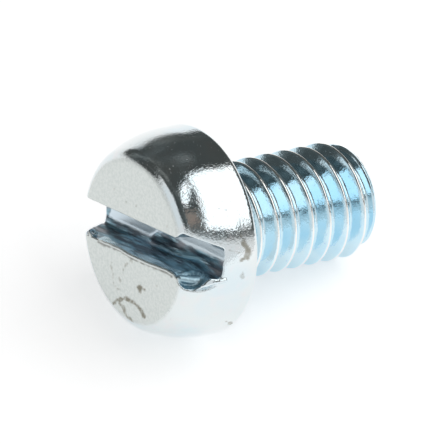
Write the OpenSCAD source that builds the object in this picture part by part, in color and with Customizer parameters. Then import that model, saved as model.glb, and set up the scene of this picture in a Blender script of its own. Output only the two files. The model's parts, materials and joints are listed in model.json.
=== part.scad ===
// Slotted cheese-head machine screw, M4 x 6, zinc plated, with a slot worn by a slipping driver.
// It lies on its side, on the rim of its head and on the last crest of its thread.
// The screw is drawn upright first: z runs from the head's face (0) to the tip, x along the slot
// towards the worn end, y across the slot. It is then rolled, laid down and put over the origin.

/* [Head] */
// Diameter of the head at its bearing face
head_d = 7; // [6.7:0.05:7.2]
// Height of the head
head_h = 2.65; // [2.5:0.05:2.8]
// Radius of the round at the edge of the head's face
face_round = 0.57; // [0.4:0.01:0.7]
// Radius of the fuller round that carries on down the side
side_round = 3.57; // [3:0.01:4]
// Draft of the head's side, in degrees
side_draft = 1.5; // [1:0.5:4]
// Radius of the edge round the bearing face
rim_round = 0.2; // [0.1:0.01:0.25]

/* [Slot] */
// Width of the slot at its floor
slot_w = 1.15; // [1:0.05:1.3]
// Depth of the slot
slot_depth = 1.32; // [1.1:0.02:1.5]
// How far the slot's middle lies off the head's middle
slot_offset = -0.07; // [-0.15:0.01:0.1]
// How far the upper wall is worn back at the mouth
mouth_wear = 0.155; // [0.05:0.005:0.2]
// Radius of the corners along the slot's floor
floor_round = 0.1; // [0.05:0.01:0.2]

/* [Driver damage] */
// Distance along the slot at which the shaved end of the upper wall starts
shave_from = 2.3; // [2:0.1:2.6]
// Depth of that shaved end at the mouth
shave_depth = 0.4; // [0.2:0.02:0.44]
// Radius of the bite torn out of the lower wall
bite_r = 0.56; // [0.4:0.02:0.64]
// Distance along the slot to the middle of the bite
bite_at = 2.93; // [2.8:0.01:3]
// Radius of the lump pushed up beside the bite
lump_r = 0.16; // [0.1:0.01:0.17]
// Height of the lip raised along the lower edge
lip_h = 0.065; // [0.04:0.005:0.1]
// Radius of the curled shaving at the slot's far end
curl_r = 0.145; // [0.1:0.005:0.18]
// Thickness of the curled shaving
curl_t = 0.1; // [0.07:0.01:0.13]

/* [Shank] */
// Length from the bearing face to the tip
length = 6; // [5.7:0.05:6.3]
// Diameter over the thread's crests
thread_d = 3.92; // [3.84:0.01:3.98]
// Pitch of the thread
pitch = 0.7; // [0.65:0.01:0.75]
// Depth of the thread, crest to root
thread_depth = 0.41; // [0.35:0.01:0.43]
// Diameter of the plain neck under the head
neck_d = 3.5; // [3.4:0.02:3.6]
// Length of the plain neck
neck_l = 0.35; // [0.25:0.05:0.5]
// Radius of the fillet between the neck and the bearing face
neck_fillet = 0.23; // [0.21:0.01:0.26]
// Length of the taper that leads into the tip
tip_taper = 0.55; // [0.4:0.05:0.7]

/* [Pose] */
// Turn of the screw about its own axis, in degrees
roll = -112; // [-118:1:-106]

/* [Hidden] */

head_r = head_d / 2;
crest_r = thread_d / 2;
root_r = crest_r - thread_depth;
neck_r = neck_d / 2;
neck_end = head_h + neck_l;
tip_z = head_h + length;

// The head's outline turns from the face to the side through two rounds that meet at this angle.
round_meet = 62;
side_turn = 90 - side_draft;
face_steps = 12;
side_steps = 6;
big = side_round - face_round;
// Radius and height at which the outline becomes the drafted side, counted from the face's edge
side_out = big * (sin(side_turn) - sin(round_meet)) + face_round * sin(side_turn);
side_z = face_round + big * cos(round_meet) - side_round * cos(side_turn);
face_r = head_r - side_out - (head_h - rim_round - side_z) * tan(side_draft);

slot_lo = slot_offset - slot_w / 2;
slot_hi = slot_offset + slot_w / 2;
over = 0.7;
reach = head_r + over;

// The thread is one profile carried round a helix, in flat facets.
segments = 48;
crest_flat = pitch / 8;
flank = thread_depth * tan(30);
root_flat = pitch - crest_flat - 2 * flank;
crest_mid = root_flat + flank + crest_flat / 2;
// Height of a crest's middle on the side that the slot's worn end points to, above a whole pitch
thread_phase = 0.315;
profile = [
    [0, root_r],
    [root_flat, root_r],
    [root_flat + flank, crest_r],
    [root_flat + flank + crest_flat, crest_r]
];
rows = len(profile);
// The helix starts inside the head and runs past the tip, and both ends are trimmed off.
bury = 0.2;
helix_start = pitch * floor((head_h - bury - pitch - thread_phase) / pitch) + thread_phase - crest_mid;
turns = ceil((tip_z - helix_start) / pitch) + 1;
steps = segments * turns;
cap_reach = 1.2 * pitch;
// The tip's taper, down to the radius of its end, whose edge is broken by tip_edge
taper = 0.48;
taper_z = tip_z - tip_taper;
tip_r = crest_r - tip_taper * taper;
tip_edge = 0.04;

// Resting on a flat surface: the rim's round touches it, and so does the crest that gives the least dip.
rim_z = head_h - rim_round;
rim_r = head_r - rim_round;
below = thread_phase - pitch * roll / 360 - crest_flat / 2;
// Where a crest's edge comes out of the taper: side is 1 for the edge towards the head, and -1 for the other
trim = taper * tan(30);
function trimmed(z, side) = z < taper_z ? z : (z + side * trim * taper_z) / (1 + side * trim);
function envelope_r(z) = crest_r - taper * max(z - taper_z, 0);
function dip_on(z) =
    let (run = z - rim_z, drop = rim_r - envelope_r(z))
    atan(drop / run) + asin(rim_round / norm([run, drop]));
crest_edges = [for (z = [below:pitch:tip_z], edge = [trimmed(z, 1), trimmed(z + crest_flat, -1)])
    if (edge > head_h + length / 2 && edge < tip_z) edge];
dip = min([for (z = crest_edges) dip_on(z)]);
axis_h = rim_z * sin(dip) + rim_r * cos(dip) + rim_round;
// Ends of the laid screw along x, which centre it over the origin
low_x = face_round * cos(dip) - face_r * sin(dip) - face_round;
high_x = tip_z * cos(dip) + (tip_r - tip_edge) * sin(dip);

function arc(r, z, radius, angle) = [r + radius * sin(angle), z - radius * cos(angle)];

// Outline of the head and neck, radius against height
function head_outline() = concat(
    [[0, 0]],
    [for (i = [0:face_steps]) arc(face_r, face_round, face_round, round_meet * i / face_steps)],
    [for (i = [1:side_steps])
        arc(face_r - big * sin(round_meet), face_round + big * cos(round_meet), side_round,
            round_meet + (side_turn - round_meet) * i / side_steps)],
    [for (a = [90:30:180]) arc(rim_r, rim_z, rim_round, a)],
    [for (a = [0:22.5:90]) [neck_r + neck_fillet * (1 - sin(a)), head_h + neck_fillet * (1 - cos(a))]],
    [[neck_r, neck_end], [0, neck_end]]
);

module head_blank() {
    rotate_extrude($fn = 96) polygon(head_outline());
}

// A shape drawn across the slot (y, z) and run along it from one x to another
module along_slot(from, to) {
    translate([from, 0, 0]) rotate([90, 0, 90]) linear_extrude(to - from) children();
}

module slot_cut() {
    along_slot(-reach, reach) polygon([
        [slot_lo - mouth_wear, -over],
        [slot_lo - mouth_wear, 0],
        [slot_lo, slot_depth - floor_round],
        [slot_lo + floor_round, slot_depth],
        [slot_hi - floor_round, slot_depth],
        [slot_hi, slot_depth - floor_round],
        [slot_hi, -over]
    ]);
}

// Height down the wall over which the shave keeps its full depth, and length over which it deepens
shave_land = 0.14;
shave_run = 0.35;

// The driver has shaved the upper wall at the near end, from nothing at the floor to its full depth.
module shaved_end() {
    mouth = slot_lo - shave_depth;
    intersection() {
        along_slot(shave_from, reach) polygon([
            [mouth, -over],
            [mouth, shave_land],
            [slot_lo, slot_depth],
            [slot_hi, slot_depth],
            [slot_hi, -over]
        ]);
        translate([0, 0, -over]) linear_extrude(slot_depth + over) polygon([
            [shave_from, slot_lo],
            [shave_from + shave_run, mouth],
            [reach, mouth],
            [reach, slot_lo]
        ]);
    }
}

// Middle of the bite: how far inside the lower wall, and how far below the face
bite_in = 0.14;
bite_z = 0.32;

module bite() {
    translate([bite_at, slot_hi - bite_in, bite_z]) sphere(bite_r, $fn = 40);
}

// Metal pushed up in a leaning stub, between the bite and the slot's lower wall
lump_in = 0.02;
lump_z = 0.18;
lump_h = 0.86;
lump_lean = [-8, 12, 0];

module pushed_lump() {
    translate([bite_at - bite_r * 0.6, slot_hi + lump_r + lump_in, lump_z])
        rotate(lump_lean)
        cylinder(lump_h, lump_r * 0.6, lump_r, $fn = 24);
}

// Ends of the raised lip along the slot, and its width
lip_from = -1.8;
lip_to = 2.15;
lip_w = 0.14;

module raised_lip() {
    along_slot(lip_from, lip_to) polygon([
        [slot_hi - lip_w * 0.15, lip_h * 1.3],
        [slot_hi, -lip_h],
        [slot_hi + lip_w, lip_h * 0.4]
    ]);
}

// A shaving curled over at the far end, rooted in the lower wall
curl_at = -2.46;
curl_z = 0.15;
curl_lean = [88, 0, 56];

module curled_shaving() {
    translate([curl_at, slot_hi - curl_r * 0.7, curl_z]) rotate(curl_lean)
        rotate_extrude($fn = 32) translate([curl_r, 0]) circle(d = curl_t, $fn = 16);
}

module worn_head() {
    difference() {
        head_blank();
        slot_cut();
        shaved_end();
        bite();
    }
    pushed_lump();
    raised_lip();
    curled_shaving();
}

// Point of the thread: step i round the helix, row j of the profile
function thread_point(i, j) =
    let (a = 360 * i / segments, p = profile[j])
    [p[1] * cos(a), p[1] * sin(a), helix_start + pitch * i / segments + p[0]];

// The root line runs one turn further than the rest, and closes the last turn's profile.
function root_index(i) = i <= steps ? rows * i : rows * (steps + 1) + i - steps - 1;
function index(i, j) = j < rows ? rows * i + j : root_index(i + segments);

module helical_thread() {
    start_cap = rows * (steps + 1) + segments;
    points = concat(
        [for (i = [0:steps], j = [0:rows - 1]) thread_point(i, j)],
        [for (i = [steps + 1:steps + segments]) thread_point(i, 0)],
        [[0, 0, helix_start - cap_reach], [0, 0, helix_start + pitch * (turns + 1) + cap_reach]]
    );
    flanks = [for (i = [0:steps - 1], j = [0:rows - 1], half = [0, 1])
        half == 0 ? [index(i, j), index(i, j + 1), index(i + 1, j + 1)]
                  : [index(i, j), index(i + 1, j + 1), index(i + 1, j)]];
    start = concat(
        [for (i = [0:segments - 1]) [root_index(i), root_index(i + 1), start_cap]],
        [for (j = [0:rows - 1]) [index(0, j + 1), index(0, j), start_cap]]
    );
    end = concat(
        [for (i = [0:segments - 1]) [root_index(steps + i + 1), root_index(steps + i), start_cap + 1]],
        [for (j = [0:rows - 1]) [index(steps, j), index(steps, j + 1), start_cap + 1]]
    );
    polyhedron(points, concat(flanks, start, end));
}

// What the thread is trimmed to: it runs out into the neck and ends in a chamfered tip.
module shank_envelope() {
    runout_z = head_h + 0.07;
    clear_r = crest_r + 0.07;
    rotate_extrude($fn = 96) polygon([
        [0, runout_z - bury],
        [neck_r - 0.14, runout_z - bury],
        [neck_r - 0.07, runout_z],
        [clear_r, runout_z + pitch],
        [clear_r, taper_z - (clear_r - crest_r) / taper],
        [tip_r + taper * tip_edge, tip_z - tip_edge],
        [tip_r - tip_edge, tip_z],
        [0, tip_z]
    ]);
}

module threaded_shank() {
    intersection() {
        helical_thread();
        shank_envelope();
    }
}

module machine_screw() {
    color([0.8, 0.83, 0.86])
        translate([-(low_x + high_x) / 2, 0, axis_h])
        rotate([0, 90 + dip, 0])
        rotate([0, 0, roll]) {
            worn_head();
            threaded_shank();
        }
}

machine_screw();
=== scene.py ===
# A worn, zinc-plated slotted machine screw, lying on its head's rim and the end of its thread.
# Sizes are millimetres in the screw's own upright frame: z runs from the head's face to the tip,
# x along the slot towards its worn end, and y across the slot. in_world() lays that frame down.
import json
import math

import bpy
import numpy as np
from mathutils import Matrix


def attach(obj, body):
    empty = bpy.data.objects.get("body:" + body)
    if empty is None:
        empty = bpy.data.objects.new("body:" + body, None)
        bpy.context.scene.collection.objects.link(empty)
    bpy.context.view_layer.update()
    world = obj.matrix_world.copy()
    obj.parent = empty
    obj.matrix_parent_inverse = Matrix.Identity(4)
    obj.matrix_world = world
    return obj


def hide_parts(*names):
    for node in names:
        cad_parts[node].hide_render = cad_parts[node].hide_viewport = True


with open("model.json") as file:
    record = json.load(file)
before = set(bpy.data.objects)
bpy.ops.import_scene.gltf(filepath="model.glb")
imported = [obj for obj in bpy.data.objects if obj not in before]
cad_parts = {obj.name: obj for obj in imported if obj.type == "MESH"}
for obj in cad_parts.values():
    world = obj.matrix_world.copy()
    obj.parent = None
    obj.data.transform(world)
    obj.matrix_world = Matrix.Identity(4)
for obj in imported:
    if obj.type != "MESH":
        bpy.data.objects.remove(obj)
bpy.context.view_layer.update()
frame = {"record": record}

MM = 0.001

# Sizes of the part
HEAD_R = 3.5
HEAD_H = 2.65
FACE_ROUND = 0.57
SIDE_ROUND = 3.57
SIDE_DRAFT = 1.5
ROUND_MEET = 62.0
RIM_ROUND = 0.2
SLOT_W = 1.15
SLOT_DEPTH = 1.32
SLOT_OFFSET = -0.07
MOUTH_WEAR = 0.155
BITE_R = 0.56
BITE_AT = 2.93
BITE_IN = 0.14
BITE_Z = 0.32
LENGTH = 6.0
CREST_R = 1.96
PITCH = 0.7
THREAD_DEPTH = 0.41
NECK_R = 1.75
NECK_L = 0.35
NECK_FILLET = 0.23
TIP_TAPER = 0.55
TAPER = 0.48
TIP_EDGE = 0.04
THREAD_PHASE = 0.315
ROLL = -112.0

SLOT_LO = SLOT_OFFSET - SLOT_W / 2
SLOT_HI = SLOT_OFFSET + SLOT_W / 2
TIP_Z = HEAD_H + LENGTH

# The photograph's view: where the middle of the head's face lies in it, and how large
PHOTO_PX = 444
FACE_PX = (132.12, 241.74)
PX_PER_MM = 30.545
CAMERA_DISTANCE = 380.1
CAMERA_ELEVATION = 44.74
CAMERA_AZIMUTH = -122.05
SENSOR = 36.0


def record_mount(name):
    """The place and direction of a mount, in millimetres."""
    for mount in frame["record"]["mounts"]:
        if mount["name"] == name:
            return np.array(mount["pos_m"]) / MM, np.array(mount["axis"], float)
    raise KeyError(name)


def screw_frame():
    """Origin and axes of the upright screw, where it lies."""
    neck, axis = record_mount("thread")
    axis /= np.linalg.norm(axis)
    side = np.array([0.0, 1.0, 0.0])
    downward = np.cross(side, axis)
    roll = math.radians(ROLL)
    along = math.cos(roll) * downward + math.sin(roll) * side
    across = math.cos(roll) * side - math.sin(roll) * downward
    return neck - HEAD_H * axis, np.array([along, across, axis])


ORIGIN, AXES = screw_frame()


def in_world(points):
    """Points of the upright screw, in millimetres, as world points in metres."""
    return (np.asarray(points) @ AXES + ORIGIN) * MM


def smoothstep(low, high, value):
    t = np.clip((value - low) / (high - low), 0.0, 1.0)
    return t * t * (3.0 - 2.0 * t)


def smooth_min(a, b, radius):
    """The lesser of two distances, blended where they are closer than radius."""
    h = np.maximum(radius - np.abs(a - b), 0.0) / radius
    return np.minimum(a, b) - h * h * radius * 0.25


def smooth_max(a, b, radius):
    return -smooth_min(-a, -b, radius)


def waves(points, scale, seed, stretch=(1.0, 1.0, 1.0), count=16):
    """Smooth noise of about unit height, made of plane waves about scale long."""
    rng = np.random.default_rng(seed)
    k = rng.normal(size=(count, 3))
    length = np.linalg.norm(k, axis=1, keepdims=True)
    k *= rng.uniform(0.6, 1.5, (count, 1)) * 2.0 * math.pi / scale / length
    phase = rng.uniform(0.0, 2.0 * math.pi, count)
    return np.sin(points @ (k * np.array(stretch)).T + phase).sum(1) * math.sqrt(2.0 / count)


# Outline of the head


def arc(r, z, radius, angles):
    """Points round an arc, with angles counted from the head's outward face to its side."""
    a = np.radians(angles)
    return np.column_stack([r + radius * np.sin(a), z - radius * np.cos(a)])


def head_outline():
    """Radius against height, from the middle of the face round to the neck."""
    meet = math.radians(ROUND_MEET)
    turn = math.radians(90.0 - SIDE_DRAFT)
    big = SIDE_ROUND - FACE_ROUND
    side_out = big * (math.sin(turn) - math.sin(meet)) + FACE_ROUND * math.sin(turn)
    side_z = FACE_ROUND + big * math.cos(meet) - SIDE_ROUND * math.cos(turn)
    draft = (HEAD_H - RIM_ROUND - side_z) * math.tan(math.radians(SIDE_DRAFT))
    face_r = HEAD_R - side_out - draft
    fillet = np.radians(np.linspace(0.0, 90.0, 9))
    neck = np.column_stack([NECK_R + NECK_FILLET * (1 - np.sin(fillet)),
                            HEAD_H + NECK_FILLET * (1 - np.cos(fillet))])
    return np.vstack([
        [[0.0, 0.0]],
        arc(face_r, FACE_ROUND, FACE_ROUND, np.linspace(0.0, ROUND_MEET, 15)),
        arc(face_r - big * math.sin(meet), FACE_ROUND + big * math.cos(meet), SIDE_ROUND,
            np.linspace(ROUND_MEET, 90.0 - SIDE_DRAFT, 20)[1:]),
        arc(HEAD_R - RIM_ROUND, HEAD_H - RIM_ROUND, RIM_ROUND, np.linspace(90.0, 180.0, 7)),
        neck,
        [[NECK_R, HEAD_H + NECK_L], [0.0, HEAD_H + NECK_L]],
    ])


def outline_distance(outline, r, z):
    """Signed distance of points to a closed outline, negative inside."""
    points = np.column_stack([r.ravel(), z.ravel()])
    nearest = np.full(len(points), np.inf)
    inside = np.zeros(len(points), bool)
    mirror = outline[::-1] * [-1.0, 1.0]
    loop = np.vstack([outline, mirror])
    for a, b in zip(loop, np.roll(loop, -1, axis=0)):
        edge = b - a
        length = edge @ edge
        if length < 1e-12:
            continue
        t = np.clip((points - a) @ edge / length, 0.0, 1.0)
        nearest = np.minimum(nearest, np.linalg.norm(points - a - t[:, None] * edge, axis=1))
        crosses = (a[1] > points[:, 1]) != (b[1] > points[:, 1])
        rise = np.where(crosses, edge[1] if edge[1] else 1.0, 1.0)
        at = a[0] + (points[:, 1] - a[1]) * edge[0] / rise
        inside ^= crosses & (points[:, 0] < at)
    return (nearest * np.where(inside, -1.0, 1.0)).reshape(r.shape)


class OutlineTable:
    """The outline's distance on a fine grid, read back by interpolation."""

    def __init__(self, step=0.015, r_max=4.0, z_min=-0.5, z_max=3.5):
        self.step = step
        self.z_min = z_min
        r = np.arange(0.0, r_max, step)
        z = np.arange(z_min, z_max, step)
        self.table = outline_distance(head_outline(), *np.meshgrid(r, z, indexing="ij"))

    def __call__(self, r, z):
        i = np.clip(r / self.step, 0.0, self.table.shape[0] - 1.001)
        j = np.clip((z - self.z_min) / self.step, 0.0, self.table.shape[1] - 1.001)
        i0 = i.astype(int)
        j0 = j.astype(int)
        u = i - i0
        v = j - j0
        t = self.table
        return ((t[i0, j0] * (1 - u) + t[i0 + 1, j0] * u) * (1 - v)
                + (t[i0, j0 + 1] * (1 - u) + t[i0 + 1, j0 + 1] * u) * v)


blank_distance = OutlineTable()


# The slot and the harm that a slipping driver has done to it


def curve(value, stops):
    """A smooth-cornered height read off a few stops of (place, height)."""
    places, heights = np.array(stops).T
    return np.interp(value, places, heights)


def tube_distance(points, path, radii):
    """Distance to a tapered tube through a few points."""
    nearest = np.full(len(points), np.inf)
    for a, b, ra, rb in zip(path[:-1], path[1:], radii[:-1], radii[1:]):
        a = np.array(a)
        edge = np.array(b) - a
        t = np.clip((points - a) @ edge / (edge @ edge), 0.0, 1.0)
        away = np.linalg.norm(points - a - t[:, None] * edge, axis=1)
        nearest = np.minimum(nearest, away - (ra + (rb - ra) * t))
    return nearest


# Where the upper wall has been shaved, at the near end, and its slope down to the floor
SHAVE_FROM = 2.4
SHAVE_TO = 2.75
SHAVED_MOUTH = -1.05
SHAVED_SLOPE = 0.46


def upper_wall(x, z):
    """Place across the slot of its upper wall, worn back at the mouth and shaved at the near end."""
    worn = SLOT_LO - MOUTH_WEAR * np.clip(1.0 - z / SLOT_DEPTH, 0.0, 1.2)
    shaved = SHAVED_MOUTH + SHAVED_SLOPE * z
    return worn + (shaved - worn) * smoothstep(SHAVE_FROM, SHAVE_TO, x)


# The slot's lower wall at the mouth: places along the slot and across it
LOWER_EDGE = [(-3.6, 0.5), (-1.8, 0.47), (-0.9, 0.45), (-0.2, 0.49), (0.5, 0.5),
              (1.2, 0.46), (1.9, 0.42), (2.3, 0.44), (2.8, 0.5), (3.5, 0.58)]
# The floor is torn up again beyond this place along the slot, at its far end.
FAR_END = -3.2
# The clean strip of floor under the upper wall ends at this place across the slot.
STRIP_EDGE = [(-3.6, 0.28), (-0.9, 0.28), (-0.7, 0.2), (-0.3, -0.05), (0.2, -0.12),
              (0.7, -0.1), (0.95, -0.03), (3.6, -0.02)]
# Torn metal: the scale of its coarse and fine waves, and how far they are drawn out along the slot
TEAR_SCALE = 0.6
TEAR_DRAWN = (0.3, 1.0, 1.0)
FINE_SCALE = 0.2
FINE_DRAWN = (0.15, 1.0, 1.0)
# How high it stands on the lower wall, the upper wall, and the floor and bite
WALL_TEAR = 0.024
WALL_FINE = 0.004
UPPER_FINE = 0.003
FLOOR_TEAR = 0.02
FLOOR_FINE = 0.005
# How far the lower wall leans in at its foot, and how thick the torn floor and its heap lie
WALL_LEAN = 0.03
LEDGE = 0.05
HEAP = 0.06
# Blends between the walls, to the floor and to the bite
WALL_BLEND = 0.07
FLOOR_BLEND = 0.1
BITE_BLEND = 0.2


def past_strip(p):
    """How far across the slot points lie from the end of the clean strip."""
    return p[:, 1] - np.interp(p[:, 0], *np.array(STRIP_EDGE).T)


def slot_distance(p):
    """Distance to the slot's empty space, negative inside it."""
    x, y, z = p.T
    tear = waves(p, TEAR_SCALE, 11, TEAR_DRAWN)
    fine = waves(p, FINE_SCALE, 12, FINE_DRAWN)
    low_down = smoothstep(0.36, 1.0, z)
    lower = curve(x, LOWER_EDGE) + WALL_TEAR * tear + WALL_FINE * fine - WALL_LEAN * low_down
    upper = upper_wall(x, z) + UPPER_FINE * fine
    torn = smoothstep(-0.1, 0.1, past_strip(p))
    heap = smoothstep(-0.9, -0.5, x) * (1.0 - smoothstep(0.7, 1.1, x))
    ledge = torn * (LEDGE + HEAP * heap + FLOOR_TEAR * tear + FLOOR_FINE * fine)
    walls = smooth_max(upper - y, y - lower, WALL_BLEND)
    slot = smooth_max(walls, z - (SLOT_DEPTH - ledge), FLOOR_BLEND)
    centre = np.array([BITE_AT, SLOT_HI - BITE_IN, BITE_Z])
    bite = np.linalg.norm(p - centre, axis=1) - BITE_R + FLOOR_TEAR * tear + FLOOR_FINE * fine
    return smooth_min(slot, bite, BITE_BLEND)


# Thin slit that carries the bite on under a tongue of metal
SLIT = [(2.9, 0.86, 0.2), (3.06, 0.94, 0.5), (3.16, 0.9, 0.78), (3.25, 0.82, 0.98),
        (3.34, 0.72, 1.2)]
SLIT_R = [0.08, 0.075, 0.06, 0.045, 0.015]
TONGUE = [(3.37, 0.64, 1.36), (3.32, 0.66, 1.17), (3.25, 0.69, 0.98), (3.17, 0.73, 0.79),
          (3.1, 0.79, 0.62)]
TONGUE_R = [0.075, 0.07, 0.065, 0.055, 0.04]
# Lip raised along the lower edge, the stub of metal pushed up by the bite, and the curled shaving
LIP = [(-1.95, 0.47, 0.03), (-1.62, 0.46, -0.01), (-1.1, 0.43, -0.025), (-0.6, 0.42, -0.03),
       (-0.1, 0.47, -0.035), (0.45, 0.48, -0.035), (1.05, 0.47, -0.035), (1.6, 0.44, -0.03),
       (2.0, 0.43, -0.025), (2.3, 0.5, 0.02)]
LIP_R = [0.02, 0.045, 0.055, 0.055, 0.06, 0.06, 0.06, 0.055, 0.05, 0.025]
LUMP = [(2.52, 0.6, 0.16), (2.62, 0.7, 0.5), (2.74, 0.78, 0.95)]
LUMP_R = [0.12, 0.15, 0.17]
CURL_MIDDLE = np.array([-2.46, 0.41, 0.14])
CURL_ACROSS = np.array([0.56, 0.83, 0.0])
CURL_DRIFT = np.array([0.83, -0.56, 0.0])
CURL_POINTS = 17
CURL_START = 20.0
CURL_TURN = 27.0
CURL_RING = 0.155
CURL_SHRINK = 0.004
CURL_SPREAD = 0.012


def curl_path():
    """The curled shaving: one and a quarter turns of a shrinking ring, rooted in the lower wall."""
    path = []
    for step in range(CURL_POINTS):
        angle = math.radians(CURL_START + CURL_TURN * step)
        ring = CURL_RING - CURL_SHRINK * step
        turn = CURL_ACROSS * math.cos(angle) + np.array([0.0, 0.0, 1.0]) * math.sin(angle)
        drift = CURL_DRIFT * CURL_SPREAD * (step - CURL_POINTS // 2)
        path.append(tuple(CURL_MIDDLE + ring * turn + drift))
    return path


CURL = curl_path()
CURL_R = list(np.linspace(0.06, 0.035, len(CURL)))
# No cut reaches deeper than this from the face, and no burr wider than this from its path.
CUT_REACH = 1.8
BURR_REACH = 0.4
CUT_BLEND = 0.04
SLIT_BLEND = 0.02


def head_distance(p):
    """Signed distance to the finished head: the blank, less the slot, plus its burrs."""
    r = np.hypot(p[:, 0], p[:, 1])
    blank = blank_distance(r, p[:, 2])
    near_cut = p[:, 2] < CUT_REACH
    body = blank.copy()
    q = p[near_cut]
    cut = smooth_min(slot_distance(q), tube_distance(q, SLIT, SLIT_R), SLIT_BLEND)
    body[near_cut] = smooth_max(blank[near_cut], -cut, CUT_BLEND)
    for path, radii, blend in ((TONGUE, TONGUE_R, 0.02), (LIP, LIP_R, 0.04), (CURL, CURL_R, 0.02),
                               (LUMP, LUMP_R, 0.06)):
        reach = np.array(path)
        low = reach.min(0) - BURR_REACH
        high = reach.max(0) + BURR_REACH
        near = np.all((p > low) & (p < high), axis=1)
        body[near] = smooth_min(body[near], tube_distance(p[near], path, radii), blend)
    return body


# Meshes


def cell_points(values, low, step):
    """One point in each grid cell that the surface crosses, at the mean of its edge crossings."""
    inside = values < 0.0
    corners = [(i, j, k) for i in (0, 1) for j in (0, 1) for k in (0, 1)]
    size = np.array(values.shape) - 1

    def corner(array, c):
        return array[c[0]:c[0] + size[0], c[1]:c[1] + size[1], c[2]:c[2] + size[2]]

    count = sum(corner(inside, c).astype(np.int8) for c in corners)
    cells = np.argwhere((count > 0) & (count < 8))
    total = np.zeros((len(cells), 3))
    number = np.zeros(len(cells))
    for axis in range(3):
        for c in corners:
            if c[axis]:
                continue
            a = cells + c
            b = a.copy()
            b[:, axis] += 1
            va = values[tuple(a.T)]
            vb = values[tuple(b.T)]
            crosses = (va < 0.0) != (vb < 0.0)
            t = np.where(crosses, va / np.where(crosses, va - vb, 1.0), 0.0)
            point = a.astype(float)
            point[:, axis] += t
            total += point * crosses[:, None]
            number += crosses
    return cells, total / number[:, None] * step + low


def surface_mesh(distance, low, high, step):
    """Closed mesh of the zero level of a distance, as points and quads."""
    low = np.array(low)
    shape = np.ceil((np.array(high) - low) / step).astype(int) + 1
    grid = [low[i] + step * np.arange(shape[i]) for i in range(3)]
    values = np.empty(shape)
    for i, x in enumerate(grid[0]):
        y, z = np.meshgrid(grid[1], grid[2], indexing="ij")
        layer = np.column_stack([np.full(y.size, x), y.ravel(), z.ravel()])
        values[i] = distance(layer).reshape(y.shape)
    cells, points = cell_points(values, low, step)
    number = np.full(shape - 1, -1)
    number[tuple(cells.T)] = np.arange(len(cells))
    quads = []
    for axis in range(3):
        second = (axis + 1) % 3
        third = (axis + 2) % 3
        here = np.take(values, np.arange(shape[axis] - 1), axis) < 0.0
        there = np.take(values, np.arange(1, shape[axis]), axis) < 0.0
        edges = np.argwhere(here != there)
        keep = (edges[:, second] > 0) & (edges[:, third] > 0)
        keep &= (edges[:, second] < shape[second] - 1) & (edges[:, third] < shape[third] - 1)
        edges = edges[keep]
        ring = []
        for ds, dt in ((-1, -1), (0, -1), (0, 0), (-1, 0)):
            cell = edges.copy()
            cell[:, second] += ds
            cell[:, third] += dt
            ring.append(number[tuple(cell.T)])
        ring = np.column_stack(ring)
        outward = here[tuple(edges.T)]
        ring[~outward] = ring[~outward][:, ::-1]
        quads.append(ring)
    return settle(distance, points, step), np.vstack(quads)


def gradient(distance, points, h=0.003):
    """Slope of a distance at points, by central differences."""
    slope = np.empty_like(points)
    for axis in range(3):
        shift = np.zeros(3)
        shift[axis] = h
        slope[:, axis] = (distance(points + shift) - distance(points - shift)) / (2.0 * h)
    return slope


def settle(distance, points, step):
    """Moves mesh points onto the exact surface."""
    for _ in range(3):
        slope = gradient(distance, points)
        scale = distance(points) / np.maximum((slope ** 2).sum(1), 0.2)
        move = slope * scale[:, None]
        length = np.linalg.norm(move, axis=1, keepdims=True)
        points = points - move * np.minimum(1.0, 0.4 * step / np.maximum(length, 1e-9))
    return points


def new_piece(name, points, faces, material, marks=None):
    """An object that stands for the screw's one node, smooth but for the flat end of the tip."""
    mesh = bpy.data.meshes.new(name)
    mesh.from_pydata(in_world(points).tolist(), [], [list(map(int, f)) for f in faces])
    mesh.validate()
    mesh.update()
    heights = np.asarray(points)[:, 2]
    smooth = [bool(min(heights[list(p.vertices)]) < TIP_Z - 1e-4) for p in mesh.polygons]
    mesh.polygons.foreach_set("use_smooth", smooth)
    place = mesh.attributes.new("screw_mm", "FLOAT_VECTOR", "POINT")
    place.data.foreach_set("vector", np.asarray(points, np.float32).ravel())
    for label, values in (marks or {}).items():
        attribute = mesh.attributes.new(label, "FLOAT", "POINT")
        attribute.data.foreach_set("value", np.asarray(values, np.float32))
    piece = bpy.data.objects.new(name, mesh)
    bpy.context.scene.collection.objects.link(piece)
    mesh.materials.append(material)
    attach(piece, "root")
    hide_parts("machine_screw")
    return piece


# Stains on the face and side: paths in the screw's frame, their half widths and a strength
STAINS = [
    ([(0.24, 1.5, 0.0), (0.48, 1.47, 0.0), (0.74, 1.43, 0.0)], [0.01, 0.13, 0.01], 1.0),
    ([(-1.08, 2.42, 0.0), (-0.84, 2.25, 0.0), (-0.44, 2.1, 0.0), (-0.09, 2.04, 0.0), (0.37, 2.15, 0.0),
      (0.71, 2.33, 0.0)], [0.03, 0.07, 0.05, 0.07, 0.06, 0.1], 0.95),
    ([(-0.72, 2.32, 0.0), (-0.43, 2.44, 0.0), (-0.28, 2.68, 0.02), (0.05, 2.73, 0.02)],
     [0.04, 0.08, 0.05, 0.05], 0.8),
    ([(3.41, -0.75, 1.95), (3.45, -0.5, 2.07), (3.48, -0.28, 2.18), (3.49, -0.01, 2.14),
      (3.48, 0.01, 1.9)], [0.05, 0.09, 0.12, 0.1, 0.04], 0.9),
    ([(3.45, 0.45, 2.0), (3.42, 0.62, 2.03)], [0.03, 0.06], 0.45),
    ([(2.59, 2.33, 1.92), (2.3, 2.64, 2.37)], [0.03, 0.08], 0.8),
    ([(3.43, -0.39, 1.46), (3.46, -0.29, 1.71), (3.48, -0.21, 1.98)], [0.012, 0.012, 0.012], 0.7),
]
SPECKS = [(-1.05, -1.53, 0.0), (-0.36, -1.27, 0.0), (1.98, -1.07, 0.0), (1.43, 1.13, 0.0),
          (0.21, -1.29, 0.0), (0.0, 0.7, 0.0)]
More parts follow.
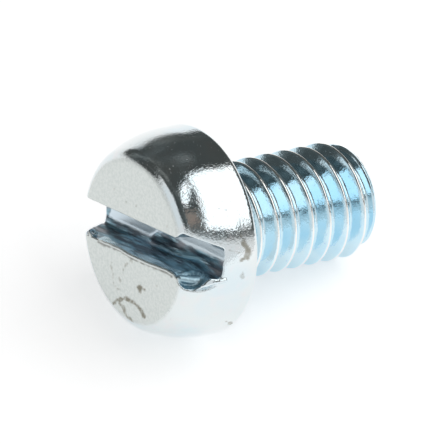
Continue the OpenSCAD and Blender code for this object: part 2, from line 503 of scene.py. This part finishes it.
GHOST_RING = [(-1.21, 1.02, 0.0), (-1.09, 1.44, 0.0), (-1.03, 1.8, 0.0), (-0.68, 1.85, 0.0),
              (-0.63, 1.35, 0.0), (-0.34, 0.86, 0.0), (0.0, 0.7, 0.0)]
SPECK_STRENGTH = 0.45
GHOST_STRENGTH = 0.5
GHOST_R = 0.03
# Half width of the painted shade: a dark line along the back of the raised lip
LIP_SHADE_R = 0.04
BURR_R = 0.14

# The bite's torn metal is drawn out in a fan of this many streaks a radian from this place.
FAN_FROM = (2.85, 0.85, 0.35)
FAN_STREAKS = 26.0


def path_mark(p, path, radii, wander=0.0, soft=0.025):
    """1 within a path's half widths, falling to 0 just outside them."""
    return 1.0 - smoothstep(-soft, soft, tube_distance(p, path, radii) + wander)


def head_marks(p):
    """Where the head is cut open, torn, clean in the slot, stained, darkened by painted shade behind
    its lip, or on its flat face.
    """
    x, y, z = p.T
    below_skin = -blank_distance(np.hypot(x, y), z)
    cut = smoothstep(0.02, 0.07, below_skin)
    strip = 1.0 - smoothstep(-0.03, 0.03, past_strip(p) + 0.012 * waves(p, 0.35, 31))
    strip *= smoothstep(FAR_END, FAR_END + 0.08, x + 0.25 * y + 0.03 * waves(p, 0.3, 35))
    stain = np.zeros(len(p))
    wander = 0.025 * waves(p, 0.28, 34)
    ragged = np.clip(0.9 + 0.25 * waves(p, 0.2, 32), 0.45, 1.0)
    for path, radii, strength in STAINS:
        drift = wander * min(1.0, radii[1] / 0.05)
        stain = np.maximum(stain, strength * ragged * path_mark(p, path, radii, drift))
    for place in SPECKS:
        away = np.linalg.norm(p - np.array(place), axis=1)
        stain = np.maximum(stain, SPECK_STRENGTH * (1.0 - smoothstep(0.015, 0.06, away)))
    ghost = path_mark(p, GHOST_RING, [GHOST_R] * len(GHOST_RING), 1.5 * wander)
    broken = np.clip(0.5 + 0.6 * waves(p, 0.16, 33), 0.0, 1.0)
    stain = np.maximum(stain, GHOST_STRENGTH * ghost * broken)
    # Painted shade: a dark line just outside the raised lip, along its back
    behind_lip = [(a, b + 0.08, 0.0) for a, b, _ in LIP]
    lip_shade = path_mark(p, behind_lip, [LIP_SHADE_R] * len(LIP), 0.5 * wander)
    under_lip = [(a, b + 0.02, c + 0.24) for a, b, c in LIP]
    burr = tube_distance(p, under_lip, [BURR_R] * len(LIP)) + 0.06 * waves(p, 0.4, 36, TEAR_DRAWN)
    for path, radii in ((LIP, LIP_R), (TONGUE, TONGUE_R), (CURL, CURL_R)):
        burr = np.minimum(burr, tube_distance(p, path, radii))
    face = 1.0 - smoothstep(0.01, 0.07, z)
    burr = 1.0 - smoothstep(0.0, 0.05, burr)
    lump = tube_distance(p, LUMP, LUMP_R)
    burr = np.maximum(burr, 0.5 - 0.5 * smoothstep(0.0, 0.06, lump))
    spread = np.linalg.norm(p - np.array(FAN_FROM), axis=1)
    near_bite = (1.0 - smoothstep(0.45, 1.0, spread)) * smoothstep(1.9, 2.4, x)
    turn = np.arctan2(y - FAN_FROM[1], x - FAN_FROM[0])
    fan = near_bite * smoothstep(0.2, 1.0, np.sin(FAN_STREAKS * turn + 1.6 * waves(p, 0.4, 37)))
    return {"cut": cut, "near_bite": near_bite, "fan": fan, "strip": strip * cut,
            "stain": stain * (1.0 - cut), "lip_shade": lip_shade, "face": face, "burr": burr}


# The thread


# Half widths over which the profile turns from its crest to its flank, and from its flank to its root
CREST_SOFT = 0.034
ROOT_SOFT = 0.045


def flank_height(u):
    """How far below its crest the thread is, at u from the crest's middle, as a share of its depth."""
    start = PITCH / 16.0
    end = start + THREAD_DEPTH * math.tan(math.radians(30.0))

    def hinge(v, soft):
        return np.where(v < -soft, 0.0, np.where(v > soft, v, (v + soft) ** 2 / (4.0 * soft)))

    return (hinge(u - start, CREST_SOFT) - hinge(u - end, ROOT_SOFT)) / (end - start)


def from_crest(z, angle):
    """How far along the axis a place on the thread is from the nearest crest's middle."""
    past_crest = z - THREAD_PHASE - PITCH * angle / (2.0 * math.pi)
    return np.abs((past_crest + PITCH / 2.0) % PITCH - PITCH / 2.0)


def crest_mark(points):
    """1 on the thread's crests, where the film is worn pale and a painted highlight runs along their
    rounded tops.
    """
    x, y, z = points.T
    return 1.0 - smoothstep(0.02, 0.055, from_crest(z, np.arctan2(y, x)))


# Where the thread runs out at the neck: its depth below the neck, its start, and its rise in one pitch
RUNOUT_DROP = 0.07
RUNOUT_FROM = 0.07
RUNOUT_RISE = 0.14
RUNOUT_BLEND = 0.035
# How deep the thread's hidden end lies in the head
BURIED = 0.2


def thread_radius(z, angle):
    """The trimmed thread's radius at a height and an angle."""
    profile = CREST_R - THREAD_DEPTH * flank_height(from_crest(z, angle))
    climb = (z - HEAD_H - RUNOUT_FROM) * (CREST_R + RUNOUT_RISE - NECK_R) / PITCH
    runout = NECK_R - RUNOUT_DROP + climb
    r = smooth_min(profile, np.maximum(runout, NECK_R - BURIED), RUNOUT_BLEND)
    return smooth_min(r, CREST_R - TAPER * (z - TIP_Z + TIP_TAPER), RUNOUT_BLEND)


# Places of the profile's points on one side of its crest, as shares of the pitch
PROFILE_HALF = [0.0, 0.03, 0.05, 0.07, 0.09, 0.115, 0.17, 0.23, 0.29, 0.335, 0.365, 0.395, 0.425, 0.46]
THREAD_SEGMENTS = 120
CAP_ROWS = 12
SPARE_TURNS = 3


def thread_mesh():
    """The threaded shank: one profile round a helix, run out at the neck and tapered at the tip."""
    half = np.array(PROFILE_HALF) * PITCH
    places = np.concatenate([half, [PITCH / 2], PITCH - half[:0:-1]])
    per_turn = len(places)
    buried = HEAD_H - BURIED
    first = PITCH * (math.floor((buried - THREAD_PHASE) / PITCH) - SPARE_TURNS) + THREAD_PHASE
    rows = per_turn * (int(math.ceil((TIP_Z - first) / PITCH)) + SPARE_TURNS)
    row = np.arange(rows)
    raw = first + PITCH * (row // per_turn) + places[row % per_turn]
    angle = (2.0 * math.pi * np.arange(THREAD_SEGMENTS) / THREAD_SEGMENTS)[:, None]
    z = raw[None, :] + PITCH * angle / (2.0 * math.pi)
    r = thread_radius(z, angle)
    solid = np.stack([r * np.cos(angle), r * np.sin(angle), z], axis=-1).reshape(-1, 3)
    rough = 0.004 * waves(solid, 1.1, 41) + 0.002 * waves(solid, 0.25, 42)
    r = r + rough.reshape(r.shape)
    under = np.maximum(buried - z, 0.0)
    r = np.where(under > 0, (NECK_R - BURIED) * np.clip(1.0 - under / PITCH, 0.0, 1.0), r)
    edge_z = TIP_Z - TIP_EDGE
    past = np.cumsum(z > edge_z, axis=1)
    tip_r = thread_radius(np.full_like(angle, edge_z), angle)
    closing = (tip_r - TIP_EDGE) * np.clip(1.0 - (past - 2.0) / CAP_ROWS, 0.0, 1.0)
    r = np.where(past == 1, tip_r, np.where(past > 1, closing, r))
    z = np.where(past == 1, edge_z, np.where(past > 1, TIP_Z, np.maximum(z, buried)))
    points = np.stack([r * np.cos(angle), r * np.sin(angle), z], axis=-1).reshape(-1, 3)
    here = np.arange(THREAD_SEGMENTS)[:, None]
    steps = np.arange(rows - per_turn - 1)[None, :]
    wraps = here == THREAD_SEGMENTS - 1
    own = here * rows + steps
    ahead = (here + 1) % THREAD_SEGMENTS * rows + steps + np.where(wraps, per_turn, 0)
    quads = np.stack([own, ahead, ahead + 1, own + 1], axis=-1).reshape(-1, 4)
    return merge_points(points, quads)


def merge_points(points, quads):
    """Joins points that coincide and drops faces that closed up."""
    keys = np.round(points, 5)
    _, index, inverse = np.unique(keys, axis=0, return_index=True, return_inverse=True)
    inverse = inverse.ravel()
    faces = []
    for quad in inverse[quads]:
        ring = [v for i, v in enumerate(quad) if v != quad[i - 1]]
        if len(set(ring)) == len(ring) and len(ring) > 2:
            faces.append(ring)
    used = np.unique(np.concatenate([np.array(f) for f in faces]))
    renumber = np.full(len(index), -1)
    renumber[used] = np.arange(len(used))
    return points[index[used]], [[int(renumber[v]) for v in f] for f in faces]


# Materials


class Nodes:
    """Short calls for building a node tree."""

    def __init__(self, tree):
        self.tree = tree
        tree.nodes.clear()

    def add(self, kind, inputs=None, **settings):
        node = self.tree.nodes.new(kind)
        for name, value in settings.items():
            setattr(node, name, value)
        for name, value in (inputs or {}).items():
            self.feed(node.inputs[name], value)
        return node

    def feed(self, socket, value):
        if isinstance(value, bpy.types.NodeSocket):
            self.tree.links.new(value, socket)
        else:
            socket.default_value = value

    def math(self, operation, a, b=0.0):
        node = self.add("ShaderNodeMath", operation=operation)
        self.feed(node.inputs[0], a)
        self.feed(node.inputs[1], b)
        return node.outputs[0]

    def mix(self, share, a, b):
        """A colour mix, whose factor and two colours are the sockets 0, 6 and 7, and its colour 2."""
        node = self.add("ShaderNodeMix", data_type="RGBA")
        self.feed(node.inputs[0], share)
        self.feed(node.inputs[6], a)
        self.feed(node.inputs[7], b)
        return node.outputs[2]

    def span(self, value, low, high, to_low=0.0, to_high=1.0):
        node = self.add("ShaderNodeMapRange", interpolation_type="SMOOTHSTEP")
        self.feed(node.inputs[0], value)
        for i, v in enumerate((low, high, to_low, to_high)):
            node.inputs[i + 1].default_value = v
        return node.outputs[0]

    def noise(self, vector, scale, detail=3.0, rough=0.5):
        return self.add("ShaderNodeTexNoise", {"Vector": vector, "Scale": scale, "Detail": detail,
                                               "Roughness": rough}).outputs["Fac"]

    def stretched(self, vector, scale):
        return self.add("ShaderNodeMapping", {"Vector": vector, "Scale": scale}).outputs[0]

    def attribute(self, name, output="Fac"):
        return self.add("ShaderNodeAttribute", attribute_name=name).outputs[output]


def rgb(r, g, b):
    return (r, g, b, 1.0)


GRAIN_DEPTH = 0.008


def zinc(name, on_head):
    """Bright zinc plate with a blue film, satin and pitted, and torn and stained on the head."""
    material = bpy.data.materials.new(name)
    material.use_nodes = True
    n = Nodes(material.node_tree)
    place = n.attribute("screw_mm", "Vector")
    broad = n.noise(place, 0.6, 2.0)
    cloud = n.noise(place, 3.0, 4.0)
    grain = n.noise(place, 11.0, 2.0, 0.7)
    pits = n.span(n.noise(place, 12.0, 4.0, 0.6), 0.68, 0.76)
    if on_head:
        blue = n.mix(n.span(broad, 0.35, 0.65), rgb(0.74, 0.785, 0.79), rgb(0.69, 0.78, 0.82))
        film = n.mix(n.span(cloud, 0.45, 0.8, 0.0, 0.5), blue, rgb(0.78, 0.77, 0.78))
        colour, rough = head_finish(n, place, film, n.span(cloud, 0.3, 0.7, 0.05, 0.09), pits)
    else:
        cool = n.mix(n.span(broad, 0.4, 0.6), rgb(0.56, 0.77, 0.88), rgb(0.64, 0.81, 0.89))
        # Pale crests: film worn off, with a painted highlight along them
        cool = n.mix(n.attribute("crest"), cool, rgb(0.88, 0.89, 0.87))
        colour = n.mix(n.math("MULTIPLY", pits, 0.5), cool, rgb(0.30, 0.35, 0.38))
        rough = n.span(cloud, 0.3, 0.7, 0.07, 0.13)
    relief = n.math("ADD", n.math("MULTIPLY", grain, 0.7), n.math("MULTIPLY", pits, -0.6))
    bump = n.add("ShaderNodeBump", {"Height": relief, "Strength": 1.0, "Distance": GRAIN_DEPTH * MM})
    shader = n.add("ShaderNodeBsdfPrincipled", {"Base Color": colour, "Metallic": 1.0,
                                                "Roughness": rough, "Normal": bump.outputs[0]})
    out = n.add("ShaderNodeOutputMaterial")
    n.tree.links.new(shader.outputs[0], out.inputs[0])
    return material


def head_finish(n, place, film, rough, pits):
    """Colours and gloss of the head: a paler satin face, and streaked torn metal in the slot."""
    cut = n.attribute("cut")
    strip = n.attribute("strip")
    stain = n.attribute("stain")
    lip_shade = n.attribute("lip_shade")
    face = n.attribute("face")
    burr = n.attribute("burr")
    mottle = n.span(n.noise(place, 9.0, 3.0, 0.6), 0.35, 0.65)
    satin = n.mix(mottle, rgb(0.60, 0.645, 0.63), rgb(0.68, 0.715, 0.70))
    pale = n.mix(face, film, satin)
    pale = n.mix(n.math("MULTIPLY", pits, 0.35), pale, rgb(0.42, 0.44, 0.43))
    streak = n.noise(n.stretched(place, (0.8, 4.0, 4.0)), 1.3, 3.0, 0.5)
    torn = n.mix(n.span(streak, 0.38, 0.62), rgb(0.10, 0.13, 0.16), rgb(0.25, 0.43, 0.52))
    tint = n.noise(n.stretched(place, (0.7, 2.0, 2.0)), 0.9, 2.0)
    torn = n.mix(n.span(tint, 0.5, 0.66, 0.0, 0.75), torn, rgb(0.30, 0.29, 0.31))
    glint = n.noise(n.stretched(place, (0.5, 7.0, 7.0)), 2.0, 2.0, 0.5)
    torn = n.mix(n.span(glint, 0.6, 0.72, 0.0, 0.8), torn, rgb(0.55, 0.74, 0.82))
    torn = n.mix(n.math("MULTIPLY", n.attribute("near_bite"), 0.8), torn, rgb(0.15, 0.27, 0.35))
    torn = n.mix(n.math("MULTIPLY", n.attribute("fan"), 0.6), torn, rgb(0.42, 0.60, 0.68))
    torn = n.mix(n.math("MULTIPLY", burr, 0.75), torn, rgb(0.62, 0.78, 0.84))
    along = n.add("ShaderNodeSeparateXYZ", {"Vector": place}).outputs[0]
    clean = n.mix(n.span(along, 0.5, 1.6), rgb(0.66, 0.76, 0.83), rgb(0.72, 0.82, 0.88))
    colour = n.mix(cut, pale, n.mix(strip, torn, clean))
    colour = n.mix(n.math("MULTIPLY", stain, 0.85), colour, rgb(0.23, 0.21, 0.155))
    # Painted shade darkens the line along the back of the raised lip
    colour = n.mix(n.math("MULTIPLY", lip_shade, 0.75), colour, rgb(0.13, 0.125, 0.11))
    rough = n.math("ADD", rough, n.math("MULTIPLY", face, 0.26))
    rough = n.math("ADD", rough, n.math("MULTIPLY", stain, 0.25))
    worn = n.math("SUBTRACT", 0.38, n.math("MULTIPLY", burr, 0.12))
    rough = n.math("MAXIMUM", rough, n.math("MULTIPLY", cut, worn))
    return colour, rough


def floor_material():
    """White card that keeps the object's shadow and reads as white to the camera."""
    material = bpy.data.materials.new("white_card")
    material.use_nodes = True
    n = Nodes(material.node_tree)
    path = n.add("ShaderNodeLightPath")
    diffuse = n.add("ShaderNodeBsdfDiffuse", {"Color": rgb(0.9, 0.9, 0.9)})
    seen = n.math("ADD", path.outputs["Is Camera Ray"], path.outputs["Is Glossy Ray"])
    lift = n.math("MULTIPLY", n.math("MINIMUM", seen, 1.0), FLOOR_LIFT)
    glow = n.add("ShaderNodeEmission", {"Color": rgb(1.0, 1.0, 1.0), "Strength": lift})
    both = n.add("ShaderNodeAddShader")
    n.tree.links.new(diffuse.outputs[0], both.inputs[0])
    n.tree.links.new(glow.outputs[0], both.inputs[1])
    out = n.add("ShaderNodeOutputMaterial")
    n.tree.links.new(both.outputs[0], out.inputs[0])
    return material


# Room, light and camera: the metal mirrors a room that is pale below a slanting line, dark above it,
# with a shaded side, a dark corner and a warm patch

DARK_WALL = (0.068, 0.073, 0.071)
DARK_CLOUD = (0.19, 0.2, 0.195)
PALE_WALL = 0.86
SHADE_TOWARDS = (-0.356, 0.882, 0.309)
SHADE_SPAN = (0.8, 0.88)
CORNER_TOWARDS = (-0.407, -0.235, 0.883)
CORNER_SPAN = (0.89, 0.95)
WALL_SLANT = (0.609, 0.163, 1.0)
WALL_LINE = 0.425
WALL_SOFT = 0.08
COPPER_TOWARDS = (-0.104, -0.535, 0.839)
COPPER_SPAN = (0.985, 0.995)
COPPER = (0.30, 0.235, 0.2)
FLOOR_LIFT = 0.42
ROOM_LIGHT = 0.48
# The lamps: where they stand and which way their tops point, as azimuth and elevation, with their
# width and height and how bright they are in a mirror
LAMP_DISTANCE = 140.0
SOFTBOX_AT = (-33.8, 52.9)
SOFTBOX_TOP = (-177.0, 37.7)
SOFTBOX_SIZE = (172.0, 105.0)
SOFTBOX_LIGHT = 1.4
STRIP_AT = (-81.0, 84.4)
STRIP_TOP = (152.0, 42.0)
STRIP_SIZE = (60.0, 15.0)
STRIP_LIGHT = 1.6


def make_world():
    """White to the camera; to metal, the pale and dark room with its patches."""
    world = bpy.data.worlds.new("room")
    bpy.context.scene.world = world
    world.use_nodes = True
    n = Nodes(world.node_tree)
    path = n.add("ShaderNodeLightPath")
    way = n.add("ShaderNodeTexCoord").outputs["Generated"]

    def towards(vector):
        node = n.add("ShaderNodeVectorMath", operation="DOT_PRODUCT")
        n.feed(node.inputs[0], way)
        node.inputs[1].default_value = vector
        return node.outputs["Value"]

    above = n.span(towards(WALL_SLANT), WALL_LINE - WALL_SOFT, WALL_LINE + WALL_SOFT)
    above = n.math("MAXIMUM", above, n.span(towards(SHADE_TOWARDS), *SHADE_SPAN))
    above = n.math("MAXIMUM", above, n.span(towards(CORNER_TOWARDS), *CORNER_SPAN))
    dark = n.mix(n.span(n.noise(way, 2.4, 2.0), 0.45, 0.7), rgb(*DARK_WALL), rgb(*DARK_CLOUD))
    wall = n.mix(above, rgb(PALE_WALL, PALE_WALL, PALE_WALL), dark)
    mirror = n.mix(n.span(towards(COPPER_TOWARDS), *COPPER_SPAN), wall, rgb(*COPPER))
    seen = n.math("MULTIPLY", path.outputs["Is Camera Ray"], 1.0 - ROOM_LIGHT)
    plain = n.math("ADD", ROOM_LIGHT, seen)
    mirrored = n.add("ShaderNodeBackground", {"Color": mirror, "Strength": 1.0})
    background = n.add("ShaderNodeBackground", {"Color": rgb(1.0, 1.0, 1.0), "Strength": plain})
    both = n.add("ShaderNodeMixShader", {"Fac": path.outputs["Is Glossy Ray"]})
    n.tree.links.new(background.outputs[0], both.inputs[1])
    n.tree.links.new(mirrored.outputs[0], both.inputs[2])
    out = n.add("ShaderNodeOutputWorld")
    n.tree.links.new(both.outputs[0], out.inputs[0])


def direction(azimuth, elevation):
    """Unit vector towards an azimuth and an elevation in degrees."""
    a = math.radians(azimuth)
    e = math.radians(elevation)
    return np.array([math.cos(e) * math.cos(a), math.cos(e) * math.sin(a), math.sin(e)])


def aim(item, location, back, up=(0.0, 0.0, 1.0)):
    """Places a lamp or camera with its own +Z along back and its +Y as near up as can be."""
    right = np.cross(up, back)
    right /= np.linalg.norm(right)
    matrix = np.eye(4)
    matrix[:3, 0] = right
    matrix[:3, 1] = np.cross(back, right)
    matrix[:3, 2] = back
    matrix[:3, 3] = location
    item.matrix_world = Matrix(matrix.tolist())


def panel(name, at, top, size, radiance):
    """A lit panel that faces the screw, as bright in a mirror as radiance."""
    width, height = size
    back = direction(*at)
    lamp = bpy.data.lights.new(name, "AREA")
    lamp.shape = "RECTANGLE"
    lamp.size = width * MM
    lamp.size_y = height * MM
    lamp.energy = radiance * math.pi * width * height * MM * MM
    item = bpy.data.objects.new(name, lamp)
    bpy.context.scene.collection.objects.link(item)
    aim(item, back * LAMP_DISTANCE * MM, back, direction(*top))


def make_lamps():
    """A tilted softbox to the right of the camera, and a narrow strip above it."""
    panel("softbox", SOFTBOX_AT, SOFTBOX_TOP, SOFTBOX_SIZE, SOFTBOX_LIGHT)
    panel("strip", STRIP_AT, STRIP_TOP, STRIP_SIZE, STRIP_LIGHT)


def make_camera():
    """The photograph's camera, level, with the head's face where the photograph has it."""
    data = bpy.data.cameras.new("photo_camera")
    data.sensor_width = SENSOR
    data.lens = SENSOR * PX_PER_MM * CAMERA_DISTANCE / PHOTO_PX
    data.clip_start = 0.001
    data.clip_end = 10.0
    camera = bpy.data.objects.new("photo_camera", data)
    bpy.context.scene.collection.objects.link(camera)
    back = direction(CAMERA_AZIMUTH, CAMERA_ELEVATION)
    right = np.cross([0.0, 0.0, 1.0], back)
    right /= np.linalg.norm(right)
    up = np.cross(back, right)
    face = in_world([0.0, 0.0, 0.0])
    shift_x = (FACE_PX[0] - PHOTO_PX / 2) / PX_PER_MM * MM
    shift_y = (PHOTO_PX / 2 - FACE_PX[1]) / PX_PER_MM * MM
    aim(camera, face + back * CAMERA_DISTANCE * MM - right * shift_x - up * shift_y, back)
    bpy.context.scene.camera = camera


FLOOR_HALF = 0.6


def make_floor():
    """A square of white card under the screw, in metres."""
    mesh = bpy.data.meshes.new("floor")
    half = FLOOR_HALF
    corners = [(-half, -half, 0.0), (half, -half, 0.0), (half, half, 0.0), (-half, half, 0.0)]
    mesh.from_pydata(corners, [], [(0, 1, 2, 3)])
    mesh.materials.append(floor_material())
    floor = bpy.data.objects.new("floor", mesh)
    bpy.context.scene.collection.objects.link(floor)


HEAD_STEP = 0.0445
SIDE_ROOM = 0.2
FACE_ROOM = 0.3
NECK_ROOM = 0.15


def make_screw():
    """The head and the threaded shank, as the two pieces of the screw."""
    reach = HEAD_R + SIDE_ROOM
    low = (-reach, -reach, -FACE_ROOM)
    high = (reach, reach, HEAD_H + NECK_L + NECK_ROOM)
    points, quads = surface_mesh(head_distance, low, high, HEAD_STEP)
    new_piece("screw_head", points, quads, zinc("zinc_head", True), head_marks(points))
    points, faces = thread_mesh()
    new_piece("screw_thread", points, faces, zinc("zinc_thread", False), {"crest": crest_mark(points)})


bpy.context.scene.view_settings.view_transform = "Standard"
make_world()
make_camera()
make_floor()
make_lamps()
make_screw()
